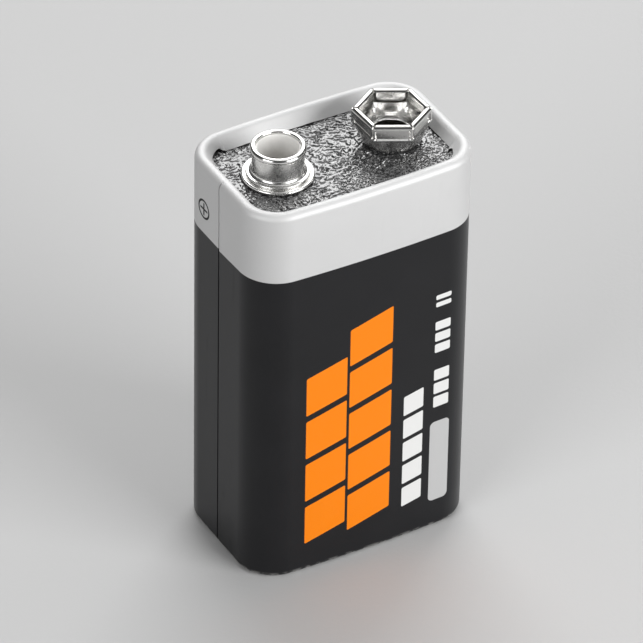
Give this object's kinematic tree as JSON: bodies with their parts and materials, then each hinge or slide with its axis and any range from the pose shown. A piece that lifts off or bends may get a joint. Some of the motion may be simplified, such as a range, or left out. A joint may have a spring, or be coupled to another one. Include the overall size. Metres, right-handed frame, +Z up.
{
  "type": "nine volt battery",
  "caption": "Rectangular nine volt dry battery: a rolled tinplate jacket round a stack of flat cells, with a snap stud and a petalled snap socket on its end board.",
  "frame": {"origin": "centre of the base, on the plane of the rolled foot that the battery stands on", "axes": "+Z up through the terminals, +X along the wide faces towards the negative socket, +Y across them, with the printed front at -Y"},
  "size_m": [0.0254, 0.0168, 0.0476],
  "materials": {
    "lacquered_tinplate": "satin black print over bright tinplate, with a bare silver lacquered band at the top",
    "crinkled_board": "glossy black crinkle grain",
    "nickel_plate": "bright nickel plate on drawn steel",
    "tinned_strip": "dull hot-dipped tin",
    "waxed_card": "grey-brown waxed card",
    "base_board": "matt black pressed board",
    "kraft_paper": "brown waxed kraft paper",
    "wax_film": "cloudy wax-dipped film",
    "zinc": "rolled zinc, dull grey",
    "paste_paper": "paste-coated paper",
    "mix": "pressed black powder",
    "clear_film": "thin cloudy plastic film"
  },
  "bodies": {
    "root": {"jacket": "lacquered_tinplate", "terminal_board": "crinkled_board", "positive_stud": "nickel_plate", "positive_rivet": "nickel_plate", "negative_socket": "nickel_plate", "negative_rivet": "nickel_plate", "positive_tab": "tinned_strip", "negative_strip": "tinned_strip", "top_card": "waxed_card", "base_card": "waxed_card", "base_board": "base_board", "liner": "kraft_paper", "stack_wrap": "wax_film", "positive_end_plate": "tinned_strip", "cell_1_zinc_plate": "zinc", "cell_1_separator": "paste_paper", "cell_1_mix_cake": "mix", "cell_1_envelope": "clear_film", "cell_2_zinc_plate": "zinc", "cell_2_separator": "paste_paper", "cell_2_mix_cake": "mix", "cell_2_envelope": "clear_film", "cell_3_zinc_plate": "zinc", "cell_3_separator": "paste_paper", "cell_3_mix_cake": "mix", "cell_3_envelope": "clear_film", "cell_4_zinc_plate": "zinc", "cell_4_separator": "paste_paper", "cell_4_mix_cake": "mix", "cell_4_envelope": "clear_film", "cell_5_zinc_plate": "zinc", "cell_5_separator": "paste_paper", "cell_5_mix_cake": "mix", "cell_5_envelope": "clear_film", "cell_6_zinc_plate": "zinc", "cell_6_separator": "paste_paper", "cell_6_mix_cake": "mix", "cell_6_envelope": "clear_film"}
  },
  "joints": []
}
